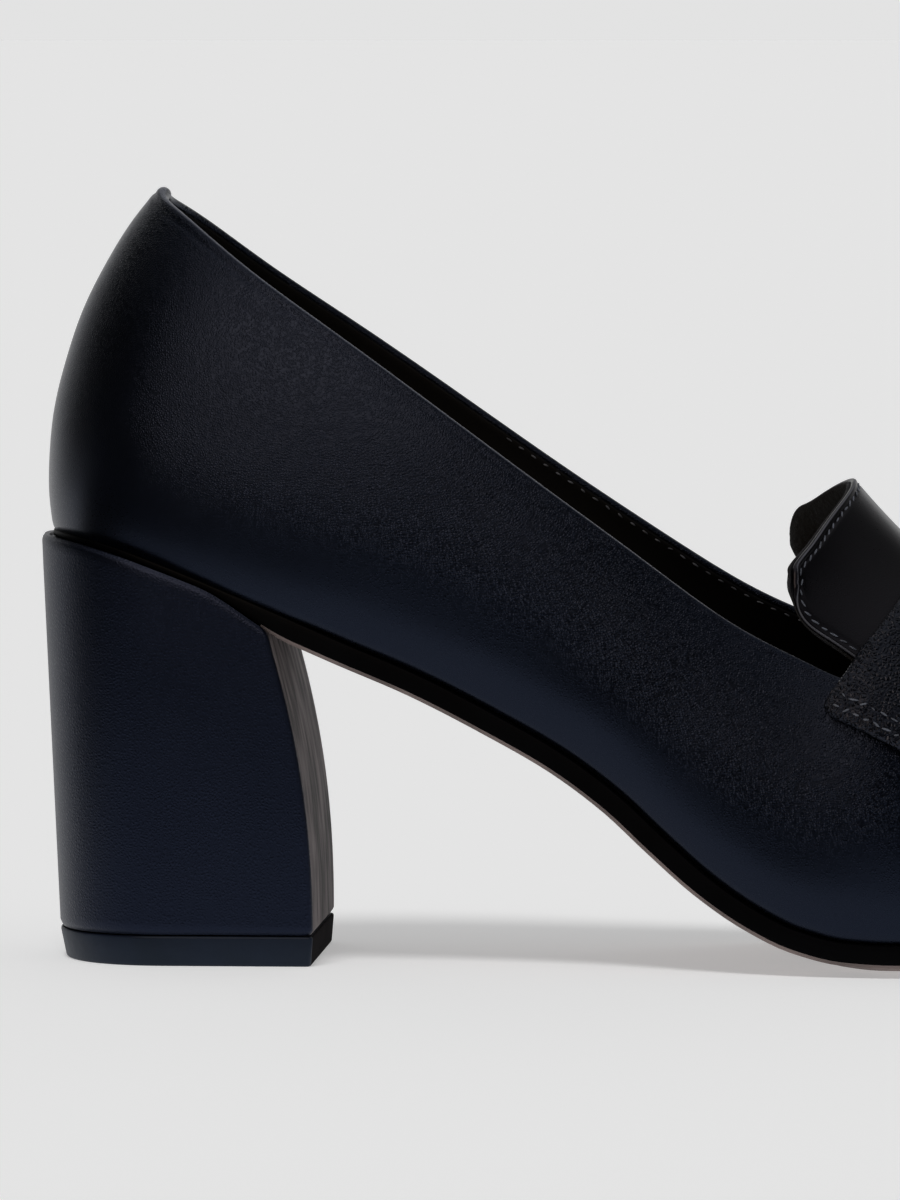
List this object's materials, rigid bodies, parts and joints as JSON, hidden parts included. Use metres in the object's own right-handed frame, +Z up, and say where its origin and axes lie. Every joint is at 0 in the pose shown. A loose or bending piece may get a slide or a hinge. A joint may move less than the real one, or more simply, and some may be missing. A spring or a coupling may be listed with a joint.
{
  "type": "loafer pump",
  "caption": "Right women's loafer pump in black-navy leather with a saddle strap, a raised tongue and a 75 mm covered block heel",
  "frame": {"origin": "middle of the heel's tread on the floor, halfway along and across the worn face", "axes": "+X to the toe, +Y to the inner (medial) side, +Z up"},
  "size_m": [0.2343, 0.0798, 0.1364],
  "materials": {
    "upper_leather": "satin grained calf, black-navy",
    "tongue_leather": "smooth calf, black",
    "strap_leather": "satin grained calf, black-navy",
    "insole_sock": "matte black sock leather",
    "outsole_leather": "black edge-painted leather",
    "heel_cover": "satin calf over the block, dark navy",
    "top_lift_rubber": "matte dark navy rubber"
  },
  "bodies": {
    "root": {"upper": "upper_leather", "tongue": "tongue_leather", "saddle_strap": "strap_leather", "insole": "insole_sock", "outsole": "outsole_leather", "heel": "heel_cover", "top_lift": "top_lift_rubber"}
  },
  "joints": []
}
